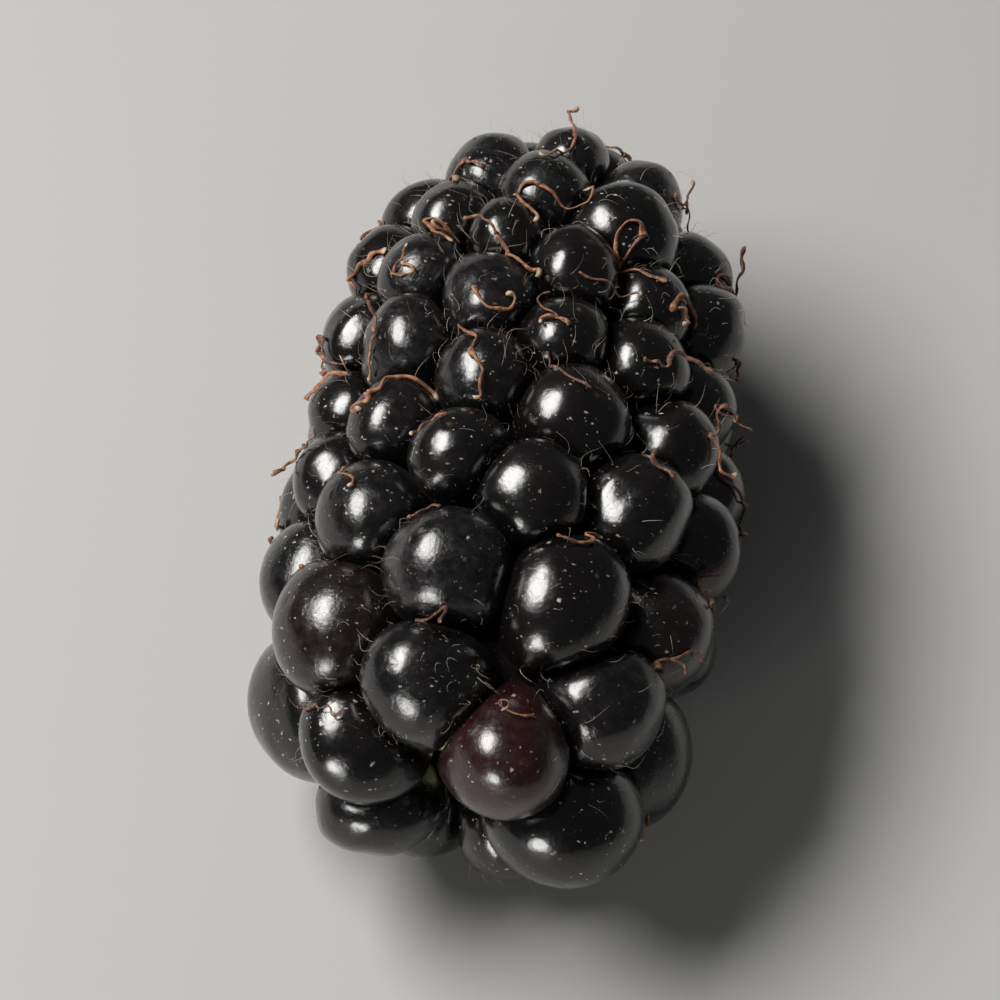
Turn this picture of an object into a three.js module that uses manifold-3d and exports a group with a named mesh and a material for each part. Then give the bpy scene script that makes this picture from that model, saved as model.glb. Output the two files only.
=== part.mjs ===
// A picked bramble berry, lying on its side.
//
// It is an aggregate fruit: many small drupelets crowded on one fleshy receptacle. The drupelets and the
// bed that they grow from are one solid. The receptacle's pale stem end, where the berry came off its
// stalk, is the other.
//
// Millimetres, +Z up. The berry's axis runs along Y, with the tip towards +Y and the stem end towards -Y.
// The origin is on the surface that the berry lies on, under the middle of its box.

import * as THREE from "three";
import { ConvexHull } from "three/addons/math/ConvexHull.js";
import { mergeVertices } from "three/addons/utils/BufferGeometryUtils.js";
import Module from "manifold-3d";

const wasm = await Module();
wasm.setup();

// --- Driving dimensions -----------------------------------------------------------------------------

// The bed is the egg-shaped surface that the drupelets' centres lie on.
const BED_HALF_LENGTH = 15.9;
const BED_RADIUS = 7.2;
const BED_TAPER = 0.02; // how much slimmer it is towards the tip, and fuller towards the stem
const BED_BLUNTNESS = 0.22; // how much fuller both its ends are than an ellipsoid's
const BED_HEIGHT_SHARE = 0.95; // its height over its width
const STEM_OPENING = 4; // radius of the last ring of drupelets' centres, round the stem end
const CORE_DEPTH = 0.9; // between drupelets the flesh lies this far under the bed

const DRUPELETS = 82;
const TIP_SIZE = 3.05; // distance from a drupelet to its neighbours at the tip
const STEM_SIZE = 5.2; // what it grows to towards the stem end
const SIZE_GROWTH = 0.8; // power of the way from the tip by which the size grows; under 1 it grows early
const RIM_SIZE = 4.2; // the same round the opening, where they turn smaller again
const RIM_FROM = 0.86; // share of the way from the tip where that begins
const SIZE_SPREAD = 0.13; // a drupelet is up to this share larger or smaller than its place gives
const SWELL = 1.22; // drupelets are fatter than their distance apart, so they press together
const FULLEST = 0.66; // the largest radius over the distance to the neighbours
const NEAREST = 5; // how many neighbours set a drupelet's radius
const TALL = 1.1; // a drupelet's height over its width
const TIPWARD_LEAN = 0.16; // slope by which drupelets lean towards the tip
const HEIGHT_SPREAD = 0.3; // a drupelet's centre is up to this far above or below the bed

const SEED = 69;
const START_SPREAD = 0.8; // radians by which a drupelet's start is off the spiral, in all
const CROWDING_ROUNDS = 120;
const CROWDING_STEP = 0.3; // share of an overlap that a drupelet moves by in one round

// How the berry lies: it is turned round its own axis, on the side where it is steady. Its lowest drupelets
// are pressed flat by the surface.
const ROLL_DEG = -15;
const PRESSED_FLAT = 0.6; // how much of the lowest drupelets the surface takes

// The receptacle's stem end is a plug that sits in a seat among the last drupelets.
const PLUG_RADIUS = 1.9;
const PLUG_ROOT_RADIUS = 1.4;
const PLUG_LENGTH = 4;
const PLUG_CROWN = 0.3; // its face is domed by this much
const PLUG_SINK = 2.2; // its face lies this far inside the last ring's centres
const SHOULDER = 1; // length over which the plug widens before it narrows to its root
const PIT_RADIUS = 0.75; // the small pit that the stalk's strand left
const PIT_DEPTH = 0.9;
const PIT_LIP = 0.25; // width of the rounded edge round the pit
const GAP = 0.3; // between the plug and its seat
const PLUG_SIDES = 32;
const FACE_STEPS = [0, 0.4, 0.75, 1]; // shares of the way across the plug's face

// Each drupelet's skin is drawn by its crown and by rings of points out to its crease. A ring is
// [share of the way to the crease, number of points].
const SKIN_RINGS = [[0.4, 9], [0.76, 14], [1, 22]];
const LEAST_SPACING = 0.38; // points closer than this are one
const CREASE_HALVINGS = 14; // how often the way to a crease is halved to find it
const TINY_ANGLE = 1e-4; // step for slopes on the bed
const TINY_LENGTH = 1e-4; // corners closer than this are the same corner

// --- Small tools ------------------------------------------------------------------------------------

// A repeatable draw of numbers from 0 to 1.
function draws(seed) {
  let state = seed;
  return () => {
    state = (state * 1664525 + 1013904223) % 2 ** 32;
    return state / 2 ** 32;
  };
}

// A closed three.js geometry as a solid that can be joined and cut.
function solid(geometry) {
  const bare = geometry.clone();
  bare.deleteAttribute("normal");
  bare.deleteAttribute("uv");
  const merged = mergeVertices(bare, TINY_LENGTH);
  const vertProperties = merged.attributes.position.array;
  const triVerts = new Uint32Array(merged.index.array);
  return new wasm.Manifold(new wasm.Mesh({ numProp: 3, vertProperties, triVerts }));
}

function geometryOf(manifold) {
  const { vertProperties, triVerts } = manifold.getMesh();
  const geometry = new THREE.BufferGeometry();
  geometry.setAttribute("position", new THREE.BufferAttribute(vertProperties, 3));
  geometry.setIndex(new THREE.BufferAttribute(triVerts, 1));
  geometry.computeVertexNormals();
  return geometry;
}

// --- The bed ----------------------------------------------------------------------------------------

// The bed's radius before it closes towards its ends.
function bedFullness(polar) {
  return BED_RADIUS * (1 - BED_TAPER * Math.cos(polar) + BED_BLUNTNESS * Math.cos(polar) ** 2);
}

// A place on the bed: polar is the angle from the tip, 0 to pi, and around goes round the axis.
function bedPoint({ polar, around }) {
  const radius = bedFullness(polar) * Math.sin(polar);
  return new THREE.Vector3(
    radius * Math.cos(around),
    BED_HALF_LENGTH * Math.cos(polar),
    radius * Math.sin(around) * BED_HEIGHT_SHARE,
  );
}

function bedNormal({ polar, around }) {
  const inner = Math.min(Math.max(polar, TINY_ANGLE), Math.PI - TINY_ANGLE);
  const along = bedPoint({ polar: inner + TINY_ANGLE, around });
  along.sub(bedPoint({ polar: inner - TINY_ANGLE, around }));
  const round = bedPoint({ polar: inner, around: around + TINY_ANGLE });
  round.sub(bedPoint({ polar: inner, around: around - TINY_ANGLE }));
  return round.cross(along).normalize();
}

// The bed's place nearest to a point that lies a little off it.
function bedPlace(point, nearPolar, lastPolar = Math.PI) {
  const z = point.z / BED_HEIGHT_SHARE;
  const polar = Math.atan2(Math.hypot(point.x, z) / bedFullness(nearPolar), point.y / BED_HALF_LENGTH);
  return { polar: Math.min(polar, lastPolar), around: Math.atan2(z, point.x) };
}

// The polar angle where the bed has narrowed to the stem opening.
function stemPolar() {
  let polar = Math.PI / 2;
  while (bedPoint({ polar, around: 0 }).x > STEM_OPENING) polar += TINY_ANGLE;
  return polar;
}

const STEM_POLAR = stemPolar();
const STEM_Y = bedPoint({ polar: STEM_POLAR, around: 0 }).y;

// A place's direction on a round ball, such that small shapes on the bed keep their shape on the ball.
function roundDirection({ polar, around }) {
  const steps = 60;
  const step = (polar - Math.PI / 2) / steps;
  let stretch = 0;
  for (let i = 0; i < steps; i++) {
    const at = Math.PI / 2 + (i + 0.5) * step;
    const before = bedPoint({ polar: at - TINY_ANGLE, around: 0 });
    const after = bedPoint({ polar: at + TINY_ANGLE, around: 0 });
    const slope = before.distanceTo(after) / (2 * TINY_ANGLE);
    stretch += (slope / ((before.x + after.x) / 2) - 1 / Math.sin(at)) * step;
  }
  const angle = 2 * Math.atan(Math.tan(polar / 2) * Math.exp(stretch));
  return new THREE.Vector3().setFromSphericalCoords(1, angle, Math.PI / 2 - around);
}

// --- The drupelets ----------------------------------------------------------------------------------

// Drupelets start near a golden-angle spiral, as the flower's pistils do, and crowd each other until
// they are evenly pressed together.
function crowdedDrupelets() {
  const draw = draws(SEED);
  const goldenAngle = Math.PI * (3 - Math.sqrt(5));
  const drupelets = [];
  for (let i = 0; i < DRUPELETS; i++) {
    const share = (i + 0.5) / DRUPELETS;
    const polar = Math.acos(1 - share * (1 - Math.cos(STEM_POLAR)));
    const around = i * goldenAngle + START_SPREAD * (draw() - 0.5);
    const luck = 1 + SIZE_SPREAD * (2 * draw() - 1);
    const lift = HEIGHT_SPREAD * (2 * draw() - 1);
    drupelets.push({ place: { polar, around }, point: bedPoint({ polar, around }), luck, lift });
  }
  for (let round = 0; round < CROWDING_ROUNDS; round++) {
    for (const drupelet of drupelets) drupelet.size = sizeAt(drupelet.place.polar) * drupelet.luck;
    const moved = drupelets.map((drupelet) => drupelet.point.clone().add(pushOn(drupelet, drupelets)));
    drupelets.forEach((drupelet, i) => {
      drupelet.place = bedPlace(moved[i], drupelet.place.polar, STEM_POLAR);
      drupelet.point = bedPoint(drupelet.place);
    });
  }
  for (const drupelet of drupelets) shape(drupelet, drupelets);
  return drupelets;
}

// Drupelets grow larger from the tip towards the stem end, and smaller again round its opening.
function sizeAt(polar) {
  const share = (1 - Math.cos(polar)) / (1 - Math.cos(STEM_POLAR));
  const grown = TIP_SIZE + (STEM_SIZE - TIP_SIZE) * share ** SIZE_GROWTH;
  const atRim = Math.max(share - RIM_FROM, 0) / (1 - RIM_FROM);
  return grown + (RIM_SIZE - grown) * atRim;
}

function pushOn(drupelet, all) {
  const push = new THREE.Vector3();
  for (const other of all) {
    if (other === drupelet) continue;
    const away = drupelet.point.clone().sub(other.point);
    const distance = away.length();
    const overlap = (drupelet.size + other.size) / 2 - distance;
    if (overlap > 0) push.addScaledVector(away, (CROWDING_STEP * overlap) / distance);
  }
  return push;
}

// A drupelet's radius is its own share of the way to its nearest neighbours, swollen.
function shape(drupelet, all) {
  const { point, place, size, lift } = drupelet;
  const shares = all
    .filter((other) => other !== drupelet)
    .map((other) => (point.distanceTo(other.point) * size) / (size + other.size))
    .sort((a, b) => a - b)
    .slice(0, NEAREST);
  const outward = bedNormal(place);
  const swollen = (SWELL * shares.reduce((sum, share) => sum + share, 0)) / shares.length;
  drupelet.radius = Math.min(swollen, FULLEST * size);
  drupelet.axis = outward.clone().add(new THREE.Vector3(0, TIPWARD_LEAN, 0)).normalize();
  drupelet.centre = point.clone().addScaledVector(outward, lift);
}

// --- The skin ---------------------------------------------------------------------------------------

// How far above the bed a line along its normal leaves this drupelet, or -Infinity where it misses.
function heightOf(drupelet, foot, normal) {
  const { centre, axis, radius } = drupelet;
  const rounded = (v) => v.addScaledVector(axis, v.dot(axis) * (1 / TALL - 1)).divideScalar(radius);
  const from = rounded(foot.clone().sub(centre));
  const way = rounded(normal.clone());
  const a = way.lengthSq();
  const b = from.dot(way);
  const inside = b * b - a * (from.lengthSq() - 1);
  return inside < 0 ? -Infinity : (Math.sqrt(inside) - b) / a;
}

// The drupelet that is outermost over a place, and the skin's point there.
function outermost(place, drupelets) {
  const foot = bedPoint(place);
  const normal = bedNormal(place);
  let top = { drupelet: null, height: -CORE_DEPTH };
  for (const drupelet of drupelets) {
    const height = heightOf(drupelet, foot, normal);
    if (height > top.height) top = { drupelet, height };
  }
  return { drupelet: top.drupelet, point: foot.addScaledVector(normal, top.height) };
}

function placeTowards(drupelet, heading, way) {
  return bedPlace(drupelet.point.clone().addScaledVector(heading, way), drupelet.place.polar);
}

// How far a drupelet's skin goes from its crown in one direction before its crease.
function wayToCrease(drupelet, heading, drupelets) {
  let [inside, outside] = [0, 2 * drupelet.radius];
  for (let halving = 0; halving < CREASE_HALVINGS; halving++) {
    const middle = (inside + outside) / 2;
    const { drupelet: top } = outermost(placeTowards(drupelet, heading, middle), drupelets);
    if (top === drupelet) inside = middle;
    else outside = middle;
  }
  return inside;
}

function ringHeadings(drupelet, count, turn) {
  const outward = bedNormal(drupelet.place);
  const first = new THREE.Vector3(0, 1, 0).cross(outward).normalize();
  const angle = (k) => (2 * Math.PI * (k + turn)) / count;
  return Array.from({ length: count }, (_, k) => first.clone().applyAxisAngle(outward, angle(k)));
}

// The places whose skin points draw every crown and crease. Creases come first, so that they win over
// a ring's points that lie too close.
function skinPoints(drupelets) {
  const kept = [];
  const add = (place) => {
    const { point } = outermost(place, drupelets);
    if (kept.every((other) => other.point.distanceTo(point) > LEAST_SPACING)) kept.push({ place, point });
  };
  for (const [share, count] of [...SKIN_RINGS].reverse()) {
    for (const drupelet of drupelets) {
      for (const heading of ringHeadings(drupelet, count, share)) {
        const way = share * wayToCrease(drupelet, heading, drupelets);
        add(placeTowards(drupelet, heading, way));
      }
    }
  }
  for (const drupelet of drupelets) add(drupelet.place);
  return kept;
}

// The skin's points are joined in triangles by the convex hull of their directions on a round ball.
function skin(drupelets) {
  const raised = new Map();
  for (const { place, point } of skinPoints(drupelets)) raised.set(roundDirection(place), point);
  const hull = new ConvexHull().setFromPoints([...raised.keys()]);
  const corners = [];
  for (const face of hull.faces) {
    let edge = face.edge;
    do {
      corners.push(...raised.get(edge.head().point).toArray());
      edge = edge.next;
    } while (edge !== face.edge);
  }
  return new THREE.BufferGeometry().setAttribute("position", new THREE.Float32BufferAttribute(corners, 3));
}

// --- The receptacle's stem end ----------------------------------------------------------------------

// A profile in [radius, length from the stem's side], turned round the berry's axis.
function turned(profile) {
  const points = profile.map(([radius, length]) => new THREE.Vector2(radius, length));
  return new THREE.LatheGeometry(points, PLUG_SIDES).translate(0, STEM_Y + PLUG_SINK, 0);
}

// The plug's face, domed round the pit, from the pit's lip out to the plug's edge.
function domedFace() {
  const lip = PIT_RADIUS + PIT_LIP;
  return FACE_STEPS.map((share) => [lip + share * (PLUG_RADIUS - lip), -PLUG_CROWN * (1 - share ** 2)]);
}

function plug() {
  const pitFloor = PIT_DEPTH - PLUG_CROWN;
  return turned([
    [0, pitFloor],
    [PIT_RADIUS - PIT_LIP, pitFloor],
    [PIT_RADIUS, PIT_LIP - PLUG_CROWN],
    ...domedFace(),
    [PLUG_RADIUS, SHOULDER],
    [PLUG_ROOT_RADIUS, PLUG_LENGTH],
    [0, PLUG_LENGTH],
  ]);
}

// The seat follows the plug with a gap, and opens behind it as far as the berry reaches.
function seat() {
  const behind = -BED_HALF_LENGTH;
  return turned([
    [0, behind],
    [PLUG_RADIUS + GAP, behind],
    [PLUG_RADIUS + GAP, SHOULDER],
    [PLUG_ROOT_RADIUS + GAP, PLUG_LENGTH + GAP],
    [0, PLUG_LENGTH + GAP],
  ]);
}

// --- The berry, as it lies --------------------------------------------------------------------------

const lying = new THREE.Matrix4().makeRotationY(THREE.MathUtils.degToRad(ROLL_DEG));

function laid(geometry) {
  return solid(geometry.applyMatrix4(lying));
}

const grown = laid(skin(crowdedDrupelets())).subtract(laid(seat()));
const lowest = grown.boundingBox().min[2];
const berry = grown.trimByPlane([0, 0, 1], lowest + PRESSED_FLAT);
const box = berry.boundingBox();
const toOrigin = [
  -(box.min[0] + box.max[0]) / 2,
  -(box.min[1] + box.max[1]) / 2,
  -(lowest + PRESSED_FLAT),
];

function named(name, whole, color, roughness) {
  const material = new THREE.MeshStandardMaterial({ color, roughness, metalness: 0 });
  const mesh = new THREE.Mesh(geometryOf(whole.translate(toOrigin)), material);
  mesh.name = name;
  return mesh;
}

const group = new THREE.Group();
group.add(named("drupelets", berry, 0x0d080c, 0.2));
group.add(named("receptacle", laid(plug()), 0xc9c79a, 0.7));

export default group;
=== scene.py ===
"""A bramble berry as picked, lying on its side on a plain pale floor.

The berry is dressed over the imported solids. Its drupelets are grown by the same rule as the solids'
source grows them: a seeded golden-angle spiral on an egg-shaped bed, crowded until the drupelets press
together. Each drupelet is then a fine closed ball, flattened where its neighbours press on it. Dried
styles, fine hairs and the receptacle's fibrous stem end are added to it.

Lengths are millimetres in the grown berry's own frame, where +Y runs to the tip. laid() turns them into
metres in the row frame, where the berry lies on the floor.
"""

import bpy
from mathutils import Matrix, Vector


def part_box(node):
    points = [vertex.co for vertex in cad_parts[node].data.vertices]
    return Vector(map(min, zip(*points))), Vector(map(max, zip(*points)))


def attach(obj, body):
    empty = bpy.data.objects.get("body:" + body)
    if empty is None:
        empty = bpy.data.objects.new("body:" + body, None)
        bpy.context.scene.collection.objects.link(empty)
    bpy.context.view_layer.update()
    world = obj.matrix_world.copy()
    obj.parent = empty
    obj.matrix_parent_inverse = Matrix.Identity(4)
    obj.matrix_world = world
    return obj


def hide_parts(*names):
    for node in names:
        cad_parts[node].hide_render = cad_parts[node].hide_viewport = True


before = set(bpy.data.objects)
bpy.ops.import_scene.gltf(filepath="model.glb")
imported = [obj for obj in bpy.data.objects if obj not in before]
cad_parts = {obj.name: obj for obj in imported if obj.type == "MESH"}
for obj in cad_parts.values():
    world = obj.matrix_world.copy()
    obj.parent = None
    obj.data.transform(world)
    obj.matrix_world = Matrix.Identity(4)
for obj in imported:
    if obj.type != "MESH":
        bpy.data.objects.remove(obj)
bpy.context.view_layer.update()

import math

import bpy
import numpy as np
from mathutils import Vector
from mathutils.bvhtree import BVHTree

MM = 0.001

# --- The bed and its drupelets, as in the solids ---
BED_HALF_LENGTH = 15.9
BED_RADIUS = 7.2
BED_TAPER = 0.02
BED_BLUNTNESS = 0.22
BED_HEIGHT_SHARE = 0.95
STEM_OPENING = 4

DRUPELETS = 82
TIP_SIZE = 3.05
STEM_SIZE = 5.2
SIZE_GROWTH = 0.8
RIM_SIZE = 4.2
RIM_FROM = 0.86
SIZE_SPREAD = 0.13
SWELL = 1.22
FULLEST = 0.66
NEAREST = 5
TALL = 1.1
TIPWARD_LEAN = 0.16
HEIGHT_SPREAD = 0.3

SEED = 69
START_SPREAD = 0.8
CROWDING_ROUNDS = 120
CROWDING_STEP = 0.3

ROLL_DEG = -15

PLUG_RADIUS = 1.9
PLUG_LENGTH = 4
PLUG_SINK = 2.2
TINY_ANGLE = 1e-4


# --- Seeded draws ---
ANY_PHASE = (0, 6)  # about a full turn


class Draws:
    """A repeatable draw of numbers from 0 to 1."""

    def __init__(self, seed):
        self.state = seed

    def __call__(self, low=0.0, high=1.0):
        self.state = (self.state * 1664525 + 1013904223) % 2**32
        return low + (high - low) * self.state / 2**32


# --- The bed ---
def bed_fullness(polar):
    return BED_RADIUS * (1 - BED_TAPER * np.cos(polar) + BED_BLUNTNESS * np.cos(polar) ** 2)


def bed_point(polar, around):
    radius = bed_fullness(polar) * np.sin(polar)
    return np.stack([
        radius * np.cos(around),
        BED_HALF_LENGTH * np.cos(polar),
        radius * np.sin(around) * BED_HEIGHT_SHARE,
    ], axis=-1)


def bed_normal(polar, around):
    inner = np.clip(polar, TINY_ANGLE, math.pi - TINY_ANGLE)
    along = bed_point(inner + TINY_ANGLE, around) - bed_point(inner - TINY_ANGLE, around)
    sideways = bed_point(inner, around + TINY_ANGLE) - bed_point(inner, around - TINY_ANGLE)
    return unit(np.cross(sideways, along))


def bed_place(point, near_polar, last_polar=math.pi):
    """The bed's place nearest to a point that lies a little off it."""
    z = point[..., 2] / BED_HEIGHT_SHARE
    polar = np.arctan2(np.hypot(point[..., 0], z) / bed_fullness(near_polar), point[..., 1] / BED_HALF_LENGTH)
    return np.minimum(polar, last_polar), np.arctan2(z, point[..., 0])


def unit(vectors):
    return vectors / np.linalg.norm(vectors, axis=-1, keepdims=True)


def stem_polar():
    """The polar angle where the bed has narrowed to the stem opening."""
    polar = math.pi / 2
    while bed_point(polar, 0.0)[0] > STEM_OPENING:
        polar += TINY_ANGLE
    return polar


STEM_POLAR = stem_polar()


# --- The drupelets' places ---
def size_at(polar):
    share = (1 - np.cos(polar)) / (1 - math.cos(STEM_POLAR))
    grown = TIP_SIZE + (STEM_SIZE - TIP_SIZE) * share**SIZE_GROWTH
    at_rim = np.maximum(share - RIM_FROM, 0) / (1 - RIM_FROM)
    return grown + (RIM_SIZE - grown) * at_rim


def crowded_drupelets():
    """Centres, axes, radii and bed places of the drupelets, after they have crowded each other."""
    draw = Draws(SEED)
    golden_angle = math.pi * (3 - math.sqrt(5))
    polar, around, luck, lift = np.zeros((4, DRUPELETS))
    for i in range(DRUPELETS):
        share = (i + 0.5) / DRUPELETS
        polar[i] = math.acos(1 - share * (1 - math.cos(STEM_POLAR)))
        around[i] = i * golden_angle + START_SPREAD * (draw() - 0.5)
        luck[i] = 1 + SIZE_SPREAD * (2 * draw() - 1)
        lift[i] = HEIGHT_SPREAD * (2 * draw() - 1)
    point = bed_point(polar, around)
    for _ in range(CROWDING_ROUNDS):
        size = size_at(polar) * luck
        away = point[:, None] - point[None]
        distance = np.linalg.norm(away, axis=-1)
        np.fill_diagonal(distance, np.inf)
        overlap = np.maximum((size[:, None] + size[None]) / 2 - distance, 0)
        push = (away * (CROWDING_STEP * overlap / distance)[..., None]).sum(axis=1)
        polar, around = bed_place(point + push, polar, STEM_POLAR)
        point = bed_point(polar, around)
    distance = np.linalg.norm(point[:, None] - point[None], axis=-1)
    np.fill_diagonal(distance, np.inf)
    shares = np.sort(distance * size[:, None] / (size[:, None] + size[None]), axis=1)[:, :NEAREST]
    radius = np.minimum(SWELL * shares.mean(axis=1), FULLEST * size)
    outward = bed_normal(polar, around)
    axis = unit(outward + np.array([0, TIPWARD_LEAN, 0]))
    return {"centre": point + outward * lift[:, None], "axis": axis, "radius": radius,
            "polar": polar, "around": around}


GROWN = crowded_drupelets()
STEM_Y = float(bed_point(STEM_POLAR, 0.0)[1])


# --- From the grown frame to the row frame ---
def turn_matrix():
    """Roll about the berry's own axis."""
    roll = math.radians(ROLL_DEG)
    return np.array([[math.cos(roll), 0, math.sin(roll)], [0, 1, 0], [-math.sin(roll), 0, math.cos(roll)]])


TURN = turn_matrix()


def reach(direction):
    """How far the solids' drupelets reach in a direction of the row frame, before the shift to its origin."""
    along = TURN.T @ np.array(direction, dtype=float)
    tilt = GROWN["axis"] @ along
    return (GROWN["centre"] @ along + GROWN["radius"] * np.sqrt(1 + (TALL**2 - 1) * tilt**2)).max()


def shift_to_row():
    """The shift that fits the turned drupelets to the solid's box. Its top stands for its height."""
    low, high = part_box("drupelets")
    return np.array([
        (low[0] + high[0]) / 2 / MM - (reach((1, 0, 0)) - reach((-1, 0, 0))) / 2,
        (low[1] + high[1]) / 2 / MM - (reach((0, 1, 0)) - reach((0, -1, 0))) / 2,
        high[2] / MM - reach((0, 0, 1)),
    ])


SHIFT = shift_to_row()


def laid(points):
    """Grown frame, millimetres, to row frame, metres. What would sink into the floor is pressed flat."""
    row = (np.asarray(points) @ TURN.T + SHIFT) * MM
    row[..., 2] = np.maximum(row[..., 2], 0)
    return row


# --- Meshes ---
class Soup:
    """Points, faces, point values and each face's material, gathered into one mesh."""

    def __init__(self, *value_names):
        self.points, self.faces, self.slots = [], [], []
        self.values = {name: [] for name in value_names}
        self.count = 0

    def add(self, points, faces, slot=0, **values):
        self.points.append(np.asarray(points, dtype=float))
        self.faces.extend(tuple(int(corner) + self.count for corner in face) for face in faces)
        self.slots.extend([slot] * len(faces))
        for name, rows in self.values.items():
            rows.append(np.broadcast_to(values.get(name, 0.0), len(points)))
        self.count += len(points)

    def piece(self, name, materials):
        mesh = bpy.data.meshes.new(name)
        mesh.from_pydata(laid(np.concatenate(self.points)).tolist(), [], self.faces)
        mesh.polygons.foreach_set("material_index", self.slots)
        mesh.polygons.foreach_set("use_smooth", [True] * len(self.faces))
        for value_name, rows in self.values.items():
            attribute = mesh.attributes.new(value_name, "FLOAT", "POINT")
            attribute.data.foreach_set("value", np.concatenate(rows).astype(np.float32))
        mesh.update()
        for material in materials:
            mesh.materials.append(material)
        piece = bpy.data.objects.new(name, mesh)
        bpy.context.scene.collection.objects.link(piece)
        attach(piece, "root")
        return piece


def skinned_rings(rings, sides):
    """Faces of a closed skin over a first pole point, rings of points, and a last pole point."""
    faces = []
    last = 1 + rings * sides
    for side in range(sides):
        beside = (side + 1) % sides
        faces.append((0, 1 + side, 1 + beside))
        for ring in range(rings - 1):
            here, below = 1 + ring * sides, 1 + (ring + 1) * sides
            faces.append((here + side, below + side, below + beside, here + beside))
        end = 1 + (rings - 1) * sides
        faces.append((end + side, last, end + beside))
    return faces


def tube(path, widths, thicknesses, sides, twist=0.0):
    """Points and faces of a closed tube along a path, of oval section that turns as it goes."""
    tangent = unit(np.gradient(path, axis=0))
    across = np.zeros_like(path)
    guide = np.cross(tangent[0], [0.3, 0.5, 0.81])
    for i, direction in enumerate(tangent):
        guide = guide - direction * (guide @ direction)
        guide = guide / np.linalg.norm(guide)
        across[i] = guide
    upright = np.cross(tangent, across)
    angle = 2 * math.pi * np.arange(sides) / sides
    turn = twist * np.linspace(0, 1, len(path))[:, None]
    flat = widths[:, None] / 2 * np.cos(angle)[None]
    thick = thicknesses[:, None] / 2 * np.sin(angle)[None]
    side_way = flat * np.cos(turn) - thick * np.sin(turn)
    up_way = flat * np.sin(turn) + thick * np.cos(turn)
    rings = path[:, None] + side_way[..., None] * across[:, None] + up_way[..., None] * upright[:, None]
    points = np.concatenate([path[:1], rings.reshape(-1, 3), path[-1:]])
    faces = [tuple(reversed(face)) for face in skinned_rings(len(path), sides)]
    return points, faces


# --- Drupelets ---
CROWN_RINGS = 28
CROWN_SIDES = 34
CROWN_CROWDING = 1.5  # how much closer together a drupelet's rings of points lie at its crown

LONGER = (1.02, 1.2)  # how much longer a drupelet is along the berry than across it
SLIMMING = 0.3  # the power of that lengthening by which the whole drupelet is smaller
GROWTH_WAVES = 3  # unevenly directed waves that make a drupelet lumpy
WAVE_SPREAD = 2.6
LUMPINESS = 0.036  # uneven growth, as a share of the radius
RIPPLES = 0.008  # finer unevenness of the skin, as a share of the radius
RIPPLE_FINENESS = 3.1  # ripples to a lump

PRESS_SHARPNESS = 13  # how sharply a drupelet's round skin turns into a pressed flat
PRESS_REACH = 0.4  # neighbours further off than this don't press

SCAR_REACH = 0.24  # radius of the dimple where the style stood
SCAR_DEPTH = 0.035
SCAR_DEPTHS = (0.3, 1.5)  # a dimple's depth, as a share of SCAR_DEPTH
SCAR_KNOB = 0.06  # height of the style's stub in the dimple
SCAR_KNOBS = (0.0, 1.2)  # a stub's height, as a share of SCAR_KNOB
SCAR_KNOB_REACH = 0.08
SCAR_BROWN_REACH = 0.09  # radius of the scar's brown
SCAR_BROWNS = (0.2, 1)
SCAR_OFF_POLE = 0.1  # how far, in radians, it may be off the drupelet's pole, each way

UNRIPE = {79: 0.21, 69: 0.05}  # drupelets of the sunless side that are still dark red, and how red
UNRIPE_FROM = 0.97  # draws above this give one more, slightly reddish drupelet
UNRIPE_GAIN = 4

CORE_DEPTH = 1.3  # depth of the dark flesh under the bed
CORE_RINGS = 40
CORE_SIDES = 48
CORE_SHORT_OF_RIM = 0.16  # where the core turns in, as an angle before the stem opening
CORE_END = 0.5  # how deep the core's end lies, as a share of the plug's length

PLUG_CLEARANCE = 0.14  # drupelets stay this far off the receptacle's plug
ROOM_SHARPNESS = 7
ROOM_FADE = 0.8  # length over which the press of the plug sets in before its face
ROOM_END = 0.3  # where it ends behind the face, as a share of the plug's length


def across_pair(axis):
    """Two directions that make a right-handed set with an axis."""
    first = unit(np.cross([0.0, 1.0, 0.02], axis))
    return first, np.cross(axis, first)


def drupelet_rings():
    """Directions from a drupelet's centre in its own frame, closest together at its crown."""
    polar = math.pi * (np.arange(1, CROWN_RINGS) / CROWN_RINGS) ** CROWN_CROWDING
    around = 2 * math.pi * np.arange(CROWN_SIDES) / CROWN_SIDES
    polar, around = (grid.ravel() for grid in np.meshgrid(polar, around, indexing="ij"))
    rings = np.stack([np.sin(polar) * np.cos(around), np.sin(polar) * np.sin(around), np.cos(polar)], axis=-1)
    return np.concatenate([[[0, 0, 1]], rings, [[0, 0, -1]]])


RINGS = drupelet_rings()


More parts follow.
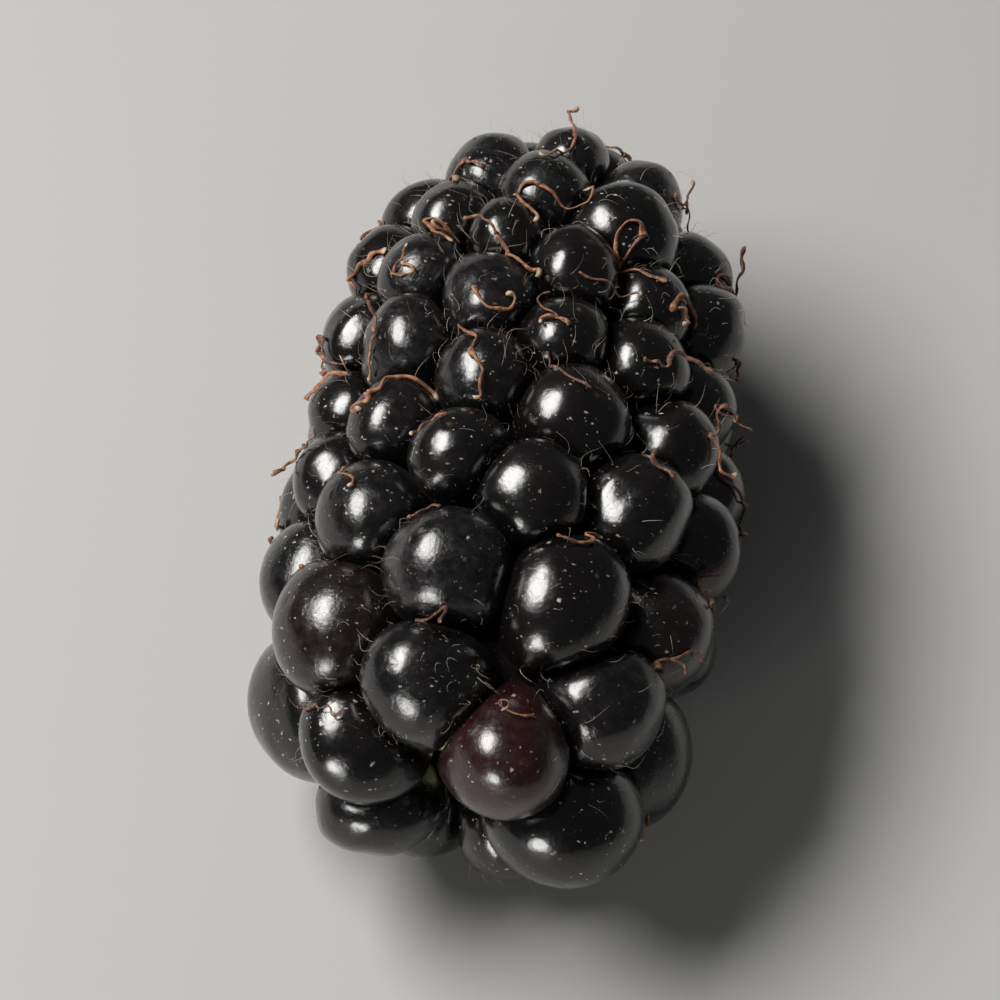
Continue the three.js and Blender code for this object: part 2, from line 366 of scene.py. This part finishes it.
def drupelet_points(i, longer, draw):
    """A drupelet's skin: a leaned oval, pressed flat by its neighbours, with the scar of its style."""
    centre, axis, radius = GROWN["centre"][i], GROWN["axis"][i], GROWN["radius"][i]
    first, second = across_pair(axis)
    ways = RINGS @ np.array([first, second, axis])
    lengthways, rise = RINGS[:, 1], RINGS[:, 2]
    free = radius / np.sqrt(1 - (1 - 1 / TALL**2) * rise**2 - (1 - 1 / longer**2) * lengthways**2)
    free = free * longer**-SLIMMING
    for _ in range(GROWTH_WAVES):
        wave = np.array([draw(-WAVE_SPREAD, WAVE_SPREAD) for _ in range(3)])
        free = free * (1 + LUMPINESS * np.sin(ways @ wave + draw(0, 2 * math.pi)))
        free = free * (1 + RIPPLES * np.sin(RIPPLE_FINENESS * ways @ wave + draw(0, 2 * math.pi)))
    pressed = free ** -PRESS_SHARPNESS
    for other, other_radius in zip(GROWN["centre"], GROWN["radius"]):
        apart = np.linalg.norm(other - centre)
        if 0 < apart < radius + other_radius + PRESS_REACH:
            flat = (apart**2 + radius**2 - other_radius**2) / (2 * apart)
            towards = np.maximum(ways @ (other - centre) / apart, 0)
            pressed += (towards / flat) ** PRESS_SHARPNESS
    out = pressed ** (-1 / PRESS_SHARPNESS)
    scar_way = unit(axis + draw(-1, 1) * SCAR_OFF_POLE * first + draw(-1, 1) * SCAR_OFF_POLE * second)
    off_crown = np.arccos(np.clip(ways @ scar_way, -1, 1)) * radius
    depth, knob = SCAR_DEPTH * draw(*SCAR_DEPTHS), SCAR_KNOB * draw(*SCAR_KNOBS)
    out = out - depth * np.exp(-((off_crown / SCAR_REACH) ** 2))
    out = out + knob * np.exp(-((off_crown / SCAR_KNOB_REACH) ** 4))
    scar = np.exp(-((off_crown / SCAR_BROWN_REACH) ** 4)) * draw(*SCAR_BROWNS)
    return clear_of_plug(centre + ways * out[:, None]), scar


def clear_of_plug(points):
    """Presses the drupelets beside the receptacle's plug softly off it."""
    off_axis = np.maximum(np.hypot(points[:, 0], points[:, 2]), TINY_ANGLE)
    room = PLUG_RADIUS + PLUG_CLEARANCE
    kept_off = (off_axis**ROOM_SHARPNESS + room**ROOM_SHARPNESS) ** (1 / ROOM_SHARPNESS)
    past_face = points[:, 1] - (STEM_Y + PLUG_SINK)
    share = np.clip(past_face / ROOM_FADE + 1, 0, 1) * np.clip(ROOM_END * PLUG_LENGTH - past_face, 0, 1)
    push = 1 + share * (kept_off / off_axis - 1)
    return points * np.stack([push, np.ones_like(push), push], axis=-1)


def core_points():
    """The dark flesh that shows between drupelets, closed behind the receptacle's plug."""
    polar = np.linspace(0, STEM_POLAR - CORE_SHORT_OF_RIM, CORE_RINGS + 1)[1:]
    around = 2 * math.pi * np.arange(CORE_SIDES) / CORE_SIDES
    polar, around = (grid.ravel() for grid in np.meshgrid(polar, around, indexing="ij"))
    ring_points = bed_point(polar, around) - CORE_DEPTH * bed_normal(polar, around)
    tip = bed_point(np.array([0.0]), np.array([0.0])) - [[0, CORE_DEPTH, 0]]
    end = [[0, STEM_Y + PLUG_SINK + CORE_END * PLUG_LENGTH, 0]]
    return np.concatenate([tip, ring_points, end]), skinned_rings(CORE_RINGS, CORE_SIDES)


def drupelets_soup():
    """The drupelets' skins and the dark core, with each skin's scar, redness, bloom and tone."""
    draw, stretch = Draws(SEED + 1), Draws(SEED + 5)
    soup = Soup("scar", "unripe", "bloom", "tone")
    faces = skinned_rings(CROWN_RINGS - 1, CROWN_SIDES)
    for i in range(DRUPELETS):
        points, scar = drupelet_points(i, stretch(*LONGER), draw)
        unripe = max(UNRIPE.get(i, 0), UNRIPE_GAIN * (draw() - UNRIPE_FROM))
        soup.add(points, faces, scar=scar, unripe=unripe, bloom=draw() ** 2, tone=draw())
    points, core_faces = core_points()
    soup.add(points, core_faces, slot=1)
    return soup


DRUPELETS_SOUP = drupelets_soup()


def drupelets_piece(skin, flesh):
    piece = DRUPELETS_SOUP.piece("drupelet_skins", [skin, flesh])
    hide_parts("drupelets")
    return piece


# --- The skin's height over the bed, which styles and hairs lie on ---
SKIN = BVHTree.FromPolygons(np.concatenate(DRUPELETS_SOUP.points).tolist(), DRUPELETS_SOUP.faces)
OVER_SKIN = 6.0  # height over the bed that is clear of every drupelet
OFF_FLOOR = 0.12  # styles and hairs that would come lower than this are left out


def skin_height(polar, around):
    """Height of the skin over each place on the bed."""
    heights = []
    for foot, normal in zip(bed_point(polar, around), bed_normal(polar, around)):
        hit, _, _, depth = SKIN.ray_cast(Vector(foot + normal * OVER_SKIN), Vector(-normal))
        heights.append(-CORE_DEPTH if hit is None else OVER_SKIN - depth)
    return np.array(heights)


def meets_floor(path):
    return laid(path)[:, 2].min() < OFF_FLOOR * MM


# --- Dried styles ---
STYLE_STEP = 0.09
STYLE_LENGTHS = (1.5, 3.9)
STYLE_WIDTH = 0.155
STYLE_THICKNESS = 0.105
STYLE_SIDES = 8
STYLE_SIZES = (0.65, 1.3)  # a thread's size, as a share of the width and thickness above
STYLE_FLATNESSES = (0.75, 1.3)
STYLE_TWISTS = (-7, 7)
# The chance of a first, second and third thread on a drupelet: at the stem end, and what the tip adds
STYLE_CHANCES = ((0.7, 0.5), (0, 0.9), (-0.4, 0.9))

CURL = 0.9  # the most that a thread curls, in radians to a millimetre
KINKS = (2, 6)
KINK_PLACES = (0.08, 0.95)  # where a kink may lie along the thread
KINK_STEPS = 3
KINK_TURN = 0.55  # the most that a kink turns at each of its steps
HOOK_FROM = 0.82  # where the hooked end begins along the thread
HOOK_CURL = 5  # the most that it curls, in radians to a millimetre

EASINGS = (7, 4, 2)  # reaches, in steps, by which a thread bridges the creases between drupelets
LIFT_OFF = 0.06  # height of a thread's middle over the skin
END_LIFT = 1.2  # the most that its end stands up
LOOPING = 0.14  # height of the low waves by which it leaves the skin
LOOP_WAVES = (4, 9)  # radians of them along the thread

UNEVEN_WIDTHS = ((0.16, (9, 16)), (0.12, (25, 40)))  # strength, and radians along the thread
STALK = 0.9  # the even part of a thread's width; its foot and knob add to it
FOOT_SIZES = (0.2, 0.9)
FOOT_LENGTHS = (0.06, 0.2)
KNOB_SIZES = (0.2, 1.5)
KNOB_PLACE = 0.95
KNOB_LENGTHS = (0.04, 0.07)
CLOSING = 24  # how shortly before its end a thread closes
NARROWEST = 0.05


def softened(values, reach_steps):
    """A smooth run of values, by a bell-shaped average along it."""
    offsets = np.arange(-3 * reach_steps, 3 * reach_steps + 1)
    weights = np.exp(-((offsets / reach_steps) ** 2))
    padded = np.pad(values, 3 * reach_steps, mode="edge")
    return np.convolve(padded, weights / weights.sum(), mode="valid")


def style_turns(steps, draw):
    """How much a thread turns at each step: a slow curl, a few sharp kinks and a hooked end."""
    turns = np.full(steps, draw(-CURL, CURL) * STYLE_STEP)
    for _ in range(int(draw(*KINKS))):
        kink = int(draw(*KINK_PLACES) * steps)
        turns[kink : kink + KINK_STEPS] += draw(-1, 1) * KINK_TURN
    turns[int(HOOK_FROM * steps) :] += draw(-HOOK_CURL, HOOK_CURL) * STYLE_STEP
    return turns


def style_path(i, draw):
    """A thread from a drupelet's crown that lies over its neighbours, with kinks and a lifted end."""
    centre, axis, radius = GROWN["centre"][i], GROWN["axis"][i], GROWN["radius"][i]
    polar, around = bed_place(centre + axis * radius, GROWN["polar"][i])
    steps = int(draw(*STYLE_LENGTHS) / STYLE_STEP)
    heading = draw(0, 2 * math.pi)
    places = []
    foot = bed_point(polar, around)
    for turn in style_turns(steps, draw):
        places.append((polar, around))
        normal = bed_normal(polar, around)
        towards_tip = unit(np.array([0, 1, 0]) - normal * normal[1])
        sideways = np.cross(normal, towards_tip)
        way = towards_tip * math.cos(heading) + sideways * math.sin(heading)
        shrink = bed_fullness(polar) / (bed_fullness(polar) + radius)
        foot = foot + way * STYLE_STEP * shrink
        polar, around = bed_place(foot, polar)
        foot = bed_point(polar, around)
        heading += turn
    polars, arounds = (np.array(values) for values in zip(*places))
    height = skin_height(polars, arounds)
    lying = height
    for reach_steps in EASINGS:
        lying = np.maximum(height, softened(lying, reach_steps))
    run = np.linspace(0, 1, steps)
    loops = LOOPING * np.sin(draw(*LOOP_WAVES) * run + draw(*ANY_PHASE)) ** 2
    lying = softened(lying, 1) + LIFT_OFF + draw() ** 2 * END_LIFT * run**2 + loops
    return bed_point(polars, arounds) + bed_normal(polars, arounds) * lying[:, None], run


def style_shape(run, draw):
    """Width along a thread: a widened foot, a thin uneven stalk and a small knob at its end."""
    uneven = sum(
        strength * np.sin(draw(*turns) * run + draw(*ANY_PHASE)) for strength, turns in UNEVEN_WIDTHS
    )
    foot = draw(*FOOT_SIZES) * np.exp(-((run / draw(*FOOT_LENGTHS)) ** 2))
    knob = draw(*KNOB_SIZES) * np.exp(-(((run - KNOB_PLACE) / draw(*KNOB_LENGTHS)) ** 2))
    closed = np.sqrt(np.clip(1 - run**CLOSING, NARROWEST, 1))
    return (STALK + uneven + foot + knob) * closed


def styles_piece(material):
    draw = Draws(SEED + 2)
    soup = Soup("along", "tone")
    for i in range(DRUPELETS):
        tipward = 1 - GROWN["polar"][i] / STEM_POLAR
        count = sum(draw() < at_stem + at_tip * tipward for at_stem, at_tip in STYLE_CHANCES)
        for _ in range(count):
            path, run = style_path(i, draw)
            if meets_floor(path):
                continue
            shape = style_shape(run, draw)
            size = draw(*STYLE_SIZES)
            flatness = draw(*STYLE_FLATNESSES)
            widths = STYLE_WIDTH * size * flatness * shape
            thicknesses = STYLE_THICKNESS * size / flatness * shape
            points, faces = tube(path, widths, thicknesses, STYLE_SIDES, draw(*STYLE_TWISTS))
            along = np.concatenate([[0], np.repeat(run, STYLE_SIDES), [1]])
            soup.add(points, faces, along=along, tone=draw())
    piece = soup.piece("dried_styles", [material])
    return piece


# --- Fine hairs ---
HAIRS = 1900
HAIR_WIDTH = 0.015
HAIR_LENGTHS = (0.3, 1.6)
HAIR_POINTS = 7
HAIR_SIDES = 3
HAIR_ROOT = 0.05  # how deep a hair is rooted
HAIR_LEANS = (0.2, 1.6)
HAIR_LAID = 0.6  # how far its end is laid over, as a share of its lean
HAIR_BOW = 1.6  # how late along its length it bows over
HAIR_SWAY = 0.25  # the most that it sways sideways, as a share of its length
HAIR_WAVES = (2, 5)
HAIR_ROOT_WIDTH = 1.1
HAIR_TAPER = 0.9
HAIR_STRAY = 0.8  # how far a hair may stray from the way in which its neighbours are combed
COMBED_AROUND = np.array([1.9, 3.1, 2.3])  # how the combed way swings round the berry and along it
COMBED_ALONG = np.array([4, -5, 7])


def hairs_piece(material):
    """Hairs rooted in the lower of two drawn places, so that most of them stand in the creases."""
    draw = Draws(SEED + 3)
    soup = Soup("tone")
    for _ in range(HAIRS):
        polars = np.arccos(1 - np.array([draw(), draw()]) * (1 - math.cos(STEM_POLAR)))
        arounds = np.array([draw(0, 2 * math.pi), draw(0, 2 * math.pi)])
        heights = skin_height(polars, arounds)
        lower = heights.argmin()
        polar, around, height = polars[lower], arounds[lower], heights[lower]
        normal = bed_normal(polar, around)
        combed = np.sin(COMBED_AROUND * around + COMBED_ALONG * polar)
        stray = [draw(-HAIR_STRAY, HAIR_STRAY) for _ in range(3)]
        side_way = unit(np.cross(normal, combed + stray))
        root = bed_point(polar, around) + normal * (height - HAIR_ROOT)
        length = draw(*HAIR_LENGTHS)
        run = np.linspace(0, 1, HAIR_POINTS)[:, None]
        lean, sway = draw(*HAIR_LEANS), draw(-HAIR_SWAY, HAIR_SWAY)
        bend = np.cross(normal, side_way) * sway * np.sin(draw(*HAIR_WAVES) * run)
        laid_over = side_way * lean * HAIR_LAID * run**HAIR_BOW
        path = root + length * (normal * run / (1 + lean * run) + laid_over + bend)
        width = HAIR_WIDTH * (HAIR_ROOT_WIDTH - HAIR_TAPER * run[:, 0])
        if meets_floor(path):
            continue
        points, faces = tube(path, width, width, HAIR_SIDES)
        soup.add(points, faces, tone=draw())
    piece = soup.piece("fine_hairs", [material])
    return piece


# --- The receptacle's stem end ---
PLUG_RINGS = 46
PLUG_SIDES = 96
# The plug's profile from the middle of its face, over its rim, to its root: the place on the profile,
# the radius there and the depth behind its face
PROFILE = np.array([
    (0, 0, 0.6),
    (0.1, 0.42, 0.55),
    (0.2, 0.72, 0.0),
    (0.3, 1.0, -0.28),
    (0.42, 1.35, -0.24),
    (0.6, 1.7, -0.08),
    (0.74, 1.9, 0.15),
    (0.82, 1.92, 0.8),
    (0.9, 1.75, 2.2),
    (1.0, 1.4, PLUG_LENGTH),
])
PIT_OFF_CENTRE = (0.12, -0.16)
PIT_RIM = 0.5  # radius where the uneven face sets in
PIT_RIM_WIDTH = 0.6
FACE_END = 0.8  # where the face ends on the profile
FIBRE_COUNTS = (7, 11, 17, 23, 31)
LOBE_COUNTS = (2, 3, 5)
FIBRE_HEIGHT, FIBRE_REACH = 0.06, 0.03
LOBE_HEIGHT, LOBE_REACH = 0.22, 0.05


def uneven_ring(counts, around, draw):
    """Waves round the plug, each of its own strength."""
    return sum(draw(0.3, 1) * np.sin(count * around + draw(0, 2 * math.pi)) for count in counts) / 3


def receptacle_piece(material):
    """The pale plug: a domed fibrous face with a pit, a ragged rim and a tapering root."""
    draw = Draws(SEED + 4)
    soup = Soup("off_axis", "tone")
    share = np.linspace(0, 1, PLUG_RINGS + 1)[1:]
    radius = softened(np.interp(share, PROFILE[:, 0], PROFILE[:, 1]), 1)
    length = softened(np.interp(share, PROFILE[:, 0], PROFILE[:, 2]), 1)
    around = 2 * math.pi * np.arange(PLUG_SIDES) / PLUG_SIDES
    fibres = uneven_ring(FIBRE_COUNTS, around, draw)
    lobes = uneven_ring(LOBE_COUNTS, around, draw)
    face_share = (np.clip((radius - PIT_RIM) / PIT_RIM_WIDTH, 0, 1) * (share < FACE_END))[:, None]
    pit_share = np.clip(1 - radius / PLUG_RADIUS, 0, 1)[:, None]
    length = length[:, None] + face_share * (FIBRE_HEIGHT * fibres + LOBE_HEIGHT * lobes)
    radius = radius[:, None] * (1 + face_share * (FIBRE_REACH * fibres + LOBE_REACH * lobes))
    y = STEM_Y + PLUG_SINK + length
    x = radius * np.cos(around) + pit_share * PIT_OFF_CENTRE[0]
    z = radius * np.sin(around) + pit_share * PIT_OFF_CENTRE[1]
    points = np.stack([x, y, z], axis=-1).reshape(-1, 3)
    first = [[PIT_OFF_CENTRE[0], y[0].mean(), PIT_OFF_CENTRE[1]]]
    last = [[0, y[-1].mean(), 0]]
    off_axis = np.concatenate([[0], np.repeat(radius.mean(axis=1), PLUG_SIDES), [0]])
    tone = np.concatenate([[0], np.tile(fibres, PLUG_RINGS), [0]])
    faces = skinned_rings(PLUG_RINGS, PLUG_SIDES)
    soup.add(np.concatenate([first, points, last]), faces, off_axis=off_axis, tone=tone)
    piece = soup.piece("receptacle_end", [material])
    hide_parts("receptacle")
    return piece


# --- Materials ---
# Colours, from darkest to palest of a kind
SKIN_BLACKS = (0.0009, 0.0008, 0.0007), (0.0026, 0.0018, 0.0017)
SKIN_CLOUD = (0.004, 0.0027, 0.0025)
SKIN_REDS = (0.03, 0.002, 0.004), (0.075, 0.004, 0.008)
BLOOM = (0.07, 0.068, 0.075)
# Pale specks on the skin: partly dust, partly painted glints of light
DUST_AND_GLINT_SPECK = (0.52, 0.48, 0.42)
SCAR_BROWN = (0.12, 0.07, 0.035)
FLESH_DARKS = (0.003, 0.0015, 0.002), (0.012, 0.003, 0.006)
STYLE_BROWNS = (0.06, 0.013, 0.006), (0.22, 0.074, 0.023)
# Painted highlight in pale tan streaks and painted shade in dark streaks on the dried styles
STYLE_PAINTED_HIGHLIGHT = (0.36, 0.19, 0.08)
STYLE_PAINTED_SHADE = (0.05, 0.013, 0.008)
STYLE_KNOB = (0.42, 0.32, 0.2)
HAIR_TONES = (0.3, 0.22, 0.16), (0.66, 0.6, 0.52)
PLUG_CREAMS = (0.5, 0.5, 0.25), (0.82, 0.79, 0.58)
PLUG_FIBRE = (0.86, 0.83, 0.68)
PLUG_GROOVE = (0.34, 0.33, 0.13)
PLUG_PIT = (0.24, 0.16, 0.06)
PLUG_RIM = (0.22, 0.07, 0.07)
FLOOR_GREYS = (0.325, 0.323, 0.318), (0.345, 0.343, 0.338)

# The pale specks, partly dust and partly painted glints of light, in layers: spacing in millimetres, stretch,
# share of places left bare, size, strength
DUST_AND_GLINT_SPECK_LAYERS = (
    (0.5, (1.0, 0.62, 1.3), 0.4, 0.15, 1.0),
    (0.27, (0.6, 1.2, 1.0), 0.4, 0.2, 0.85),
    (0.36, (1.3, 1.1, 0.45), 0.46, 0.14, 0.9),
)
DUST_AND_GLINT_SPECKS_TURNED = (0.5, 0.9, 0.3)


class Look:
    """A material: even values set on its shader, and short chains of nodes for what varies."""

    def __init__(self, name, **even):
        self.material = bpy.data.materials.new(name)
        self.material.use_nodes = True
        self.tree = self.material.node_tree
        self.shader = self.tree.nodes["Principled BSDF"]
        self.give(self.shader, even)
        self.where = self.tree.nodes.new("ShaderNodeTexCoord").outputs["Object"]

    def give(self, node, inputs):
        """Sets a node's inputs to plain values or links them to other nodes' outputs."""
        for name, value in inputs.items():
            socket = node.inputs[name]
            if isinstance(value, bpy.types.NodeSocket):
                self.tree.links.new(value, socket)
            elif isinstance(value, tuple) and len(value) == 3 and socket.type == "RGBA":
                socket.default_value = (*value, 1)
            else:
                socket.default_value = value

    def value(self, name):
        """A value that the mesh carries at its points."""
        node = self.tree.nodes.new("ShaderNodeAttribute")
        node.attribute_name = name
        return node.outputs["Fac"]

    def noise(self, grain_mm, detail=2.0, rough=0.5):
        """Noise from 0 to 1, with features of about this size."""
        node = self.tree.nodes.new("ShaderNodeTexNoise")
        scale = 1 / (grain_mm * MM)
        self.give(node, {"Vector": self.where, "Scale": scale, "Detail": detail, "Roughness": rough})
        return node.outputs["Fac"]

    def spots(self, spacing_mm, stretch):
        """Distance to the nearest of scattered points, over their spacing, and each point's own number."""
        turned = self.tree.nodes.new("ShaderNodeMapping")
        self.give(turned, {"Vector": self.where, "Rotation": DUST_AND_GLINT_SPECKS_TURNED, "Scale": stretch})
        node = self.tree.nodes.new("ShaderNodeTexVoronoi")
        self.give(node, {"Vector": turned.outputs["Vector"], "Scale": 1 / (spacing_mm * MM)})
        return node.outputs["Distance"], node.outputs["Color"]

    def combine(self, operation, first, second):
        """Two values added, or multiplied and kept from 0 to 1."""
        node = self.tree.nodes.new("ShaderNodeMath")
        node.operation = operation
        node.use_clamp = operation != "ADD"
        self.give(node, {0: first, 1: second})
        return node.outputs[0]

    def between(self, value, low, high, start=0.0, end=1.0):
        """A value mapped from low to high onto start to end, and kept between them."""
        node = self.tree.nodes.new("ShaderNodeMapRange")
        self.give(node, {"Value": value, "From Min": low, "From Max": high, "To Min": start, "To Max": end})
        return node.outputs["Result"]

    def blend(self, share, first, second):
        """Two colours mixed, from the first at 0 to the second at 1."""
        node = self.tree.nodes.new("ShaderNodeMix")
        node.data_type = "RGBA"
        self.give(node, {0: share, 6: first, 7: second})
        return node.outputs[2]

    def bump(self, height, depth_mm, strength=1.0, under=None):
        """Relief from a height of 0 to 1, over a coarser relief if there is one."""
        node = self.tree.nodes.new("ShaderNodeBump")
        self.give(node, {"Height": height, "Distance": depth_mm * MM, "Strength": strength})
        if under is not None:
            self.tree.links.new(under, node.inputs["Normal"])
        return node.outputs["Normal"]

    def finished(self, **varying):
        self.give(self.shader, {name.replace("_", " "): value for name, value in varying.items()})
        return self.material


def skin_look():
    """Thin glossy skin, near-black, with pale specks that are partly dust and partly painted glints. Some
    drupelets are dark red, some have a waxy bloom.
    """
    look = Look("drupelet_skin", **{
        "IOR": 1.45,
        "Coat Weight": 0.55,
        "Coat Roughness": 0.2,
        "Sheen Weight": 0.01,
        "Sheen Roughness": 0.4,
        "Sheen Tint": (1, 0.97, 0.93),
    })
    unripe, bloom, tone, scar = (look.value(name) for name in ("unripe", "bloom", "tone", "scar"))
    cloud = look.noise(1.6, 3)
    black = look.blend(tone, *SKIN_BLACKS)
    black = look.blend(look.between(cloud, 0.45, 0.75), black, SKIN_CLOUD)
    red = look.blend(cloud, *SKIN_REDS)
    colour = look.blend(unripe, black, red)
    haze = look.combine("MULTIPLY", bloom, look.between(look.noise(0.5, 4, 0.65), 0.4, 0.8))
    colour = look.blend(look.combine("MULTIPLY", haze, 0.22), colour, BLOOM)
    patches = look.between(look.noise(3.0, 2), 0.4, 0.62, 0.1, 0.9)
    ragged = look.between(look.noise(0.08, 2), 0.3, 0.7, 0.55, 1.5)
    dust_and_glint_specks = 0.0
    for spacing, stretch, share, size, strength in DUST_AND_GLINT_SPECK_LAYERS:
        distance, pick = look.spots(spacing, stretch)
        lit = look.between(pick, share, 0.9, 0.0, strength)
        smaller = look.between(pick, share, 0.9, 1.9, 0.75)
        distance = look.combine("MULTIPLY", look.combine("MULTIPLY", distance, smaller), ragged)
        dust_and_glint_speck = look.combine("MULTIPLY", look.between(distance, size * 0.6, size, 1.0, 0.0), lit)
        dust_and_glint_specks = look.combine("ADD", dust_and_glint_specks, look.combine("MULTIPLY", dust_and_glint_speck, patches))
    # The pale specks, partly dust and partly painted glints, mixed into the skin's colour
    colour = look.blend(dust_and_glint_specks, colour, DUST_AND_GLINT_SPECK)
    colour = look.blend(look.combine("MULTIPLY", scar, 0.7), colour, SCAR_BROWN)
    rough = look.between(look.noise(0.45, 3), 0.3, 0.75, 0.14, 0.27)
    rough = look.combine("ADD", rough, look.combine("MULTIPLY", haze, 0.25))
    rough = look.combine("ADD", rough, look.combine("MULTIPLY", scar, 0.3))
    swells = look.bump(look.noise(0.8, 2), 0.07, 0.85)
    uneven_grain = look.between(look.noise(2.2, 2), 0.45, 0.7, 0.35, 0.9)
    grain = look.combine("ADD", look.combine("MULTIPLY", bloom, 0.9), uneven_grain)
    pores = look.bump(look.noise(0.17, 3, 0.6), 0.02, grain, under=swells)
    pores = look.bump(dust_and_glint_specks, 0.02, 1.0, under=pores)
    return look.finished(Base_Color=colour, Roughness=rough, Normal=pores)


def flesh_look():
    """The dark flesh deep between drupelets."""
    look = Look("dark_flesh", **{"IOR": 1.4})
    cloud = look.noise(0.9, 3)
    return look.finished(
        Base_Color=look.blend(cloud, *FLESH_DARKS),
        Roughness=look.between(cloud, 0.3, 0.7, 0.55, 0.8),
        Normal=look.bump(look.noise(0.3, 3), 0.05),
    )


def style_look():
    """Dry papery thread, from dark reddish brown to tan, paler at its knob, with pale streaks of painted
    highlight and dark streaks of painted shade.
    """
    look = Look("dried_style", **{"IOR": 1.5, "Sheen Weight": 0.15})
    along, tone = look.value("along"), look.value("tone")
    streak = look.noise(0.22, 4, 0.6)
    colour = look.blend(tone, *STYLE_BROWNS)
    # Pale streaks are painted highlight, dark streaks are painted shade
    colour = look.blend(look.between(streak, 0.5, 0.68, 0.0, 0.75), colour, STYLE_PAINTED_HIGHLIGHT)
    colour = look.blend(look.between(streak, 0.48, 0.34, 0.0, 0.85), colour, STYLE_PAINTED_SHADE)
    knob = look.combine("MULTIPLY", look.between(along, 0.86, 0.95, 0.0, 0.9), look.between(tone, 0.3, 0.5))
    colour = look.blend(knob, colour, STYLE_KNOB)
    return look.finished(
        Base_Color=colour,
        Roughness=look.between(streak, 0.3, 0.7, 0.4, 0.6),
        Normal=look.bump(look.noise(0.09, 4, 0.6), 0.03),
    )


def hair_look():
    """Fine plant hair, from light brown to nearly white."""
    look = Look("fine_hair", **{"IOR": 1.5})
    return look.finished(
        Base_Color=look.blend(look.value("tone"), *HAIR_TONES),
        Roughness=look.between(look.noise(0.4, 2), 0.3, 0.7, 0.35, 0.55),
    )


def receptacle_look():
    """Moist pale flesh: greenish cream, browner in its pit, with fibres that run out from it."""
    look = Look("receptacle_flesh", **{"IOR": 1.4, "Subsurface Weight": 0.1, "Subsurface Scale": 0.001})
    off_axis, tone = look.value("off_axis"), look.value("tone")
    cloud = look.noise(0.5, 4, 0.6)
    colour = look.blend(cloud, *PLUG_CREAMS)
    colour = look.blend(look.between(tone, 0.0, 0.8, 0.0, 0.5), colour, PLUG_FIBRE)
    colour = look.blend(look.between(tone, -0.1, -0.6, 0.0, 0.35), colour, PLUG_GROOVE)
    colour = look.blend(look.between(off_axis, 0.35, 0.9, 0.8, 0.0), colour, PLUG_PIT)
    colour = look.blend(look.between(off_axis, 1.55, 1.85, 0.0, 0.6), colour, PLUG_RIM)
    lumps = look.bump(cloud, 0.15, 0.7)
    return look.finished(
        Base_Color=colour,
        Roughness=look.between(cloud, 0.3, 0.7, 0.3, 0.55),
        Normal=look.bump(look.noise(0.12, 3), 0.04, 0.7, under=lumps),
    )


drupelets_piece(skin_look(), flesh_look())
receptacle_piece(receptacle_look())
styles_piece(style_look())
hairs_piece(hair_look())


# --- Floor, light and camera, in metres ---
FLOOR_HALF = 0.6
FLOOR_Z = -0.02 * MM

LAMP_COLOUR = (1, 0.985, 0.955)
WORLD_COLOUR = (0.97, 0.98, 1, 1)
WORLD_STRENGTH = 0.07
# Each softbox: the way to it, its distance, its size and its power in watts
KEY = (-0.55, 0.08, 0.83), 0.35, (0.3, 0.155), 2.2
FRONT = (-0.35, -0.93, 0.12), 0.4, (0.15, 0.18), 1.05

CAMERA_TURN_DEG = 8
CAMERA_RISE_DEG = 59
CAMERA_DISTANCE = 0.49
CAMERA_AIM = (-0.0005, 0, 0.0085)
CAMERA_LENS_MM = 415
CAMERA_SENSOR_MM = 36
CAMERA_CLIPS = (0.01, 5)


def floor():
    """The plain pale floor, a hair's breadth under the berry."""
    low, high = -FLOOR_HALF, FLOOR_HALF
    corners = [(low, low, FLOOR_Z), (high, low, FLOOR_Z), (high, high, FLOOR_Z), (low, high, FLOOR_Z)]
    mesh = bpy.data.meshes.new("floor")
    mesh.from_pydata(corners, [], [(0, 1, 2, 3)])
    look = Look("floor")
    cloud = look.noise(25, 2)
    mesh.materials.append(look.finished(
        Base_Color=look.blend(cloud, *FLOOR_GREYS),
        Roughness=look.between(cloud, 0.3, 0.7, 0.6, 0.7),
    ))
    plane = bpy.data.objects.new("floor", mesh)
    bpy.context.scene.collection.objects.link(plane)


def softbox(name, direction, distance, size, power):
    """An oval softbox that faces the berry."""
    lamp = bpy.data.lights.new(name, "AREA")
    lamp.color = LAMP_COLOUR
    lamp.shape, lamp.size, lamp.size_y, lamp.energy = "ELLIPSE", size[0], size[1], power
    box = bpy.data.objects.new(name, lamp)
    away = Vector(direction).normalized()
    box.location = away * distance
    box.rotation_euler = (-away).to_track_quat("-Z", "Y").to_euler()
    bpy.context.scene.collection.objects.link(box)


def studio():
    """A dim even surrounding light and two softboxes: one above at the left, one low in front."""
    world = bpy.data.worlds.new("studio")
    world.use_nodes = True
    shade = world.node_tree.nodes["Background"]
    shade.inputs["Color"].default_value = WORLD_COLOUR
    shade.inputs["Strength"].default_value = WORLD_STRENGTH
    bpy.context.scene.world = world
    softbox("key", *KEY)
    softbox("front", *FRONT)


def camera():
    """A long lens that looks down on the berry from beyond its stem end."""
    lens = bpy.data.cameras.new("camera")
    lens.lens, lens.sensor_width = CAMERA_LENS_MM, CAMERA_SENSOR_MM
    seen_from = bpy.data.objects.new("camera", lens)
    turn, rise = math.radians(CAMERA_TURN_DEG), math.radians(CAMERA_RISE_DEG)
    back = Vector((math.sin(turn) * math.cos(rise), -math.cos(turn) * math.cos(rise), math.sin(rise)))
    seen_from.location = Vector(CAMERA_AIM) + back * CAMERA_DISTANCE
    seen_from.rotation_euler = (-back).to_track_quat("-Z", "Y").to_euler()
    lens.clip_start, lens.clip_end = CAMERA_CLIPS
    bpy.context.scene.collection.objects.link(seen_from)
    bpy.context.scene.camera = seen_from


floor()
studio()
camera()
bpy.context.scene.view_settings.view_transform = "Standard"
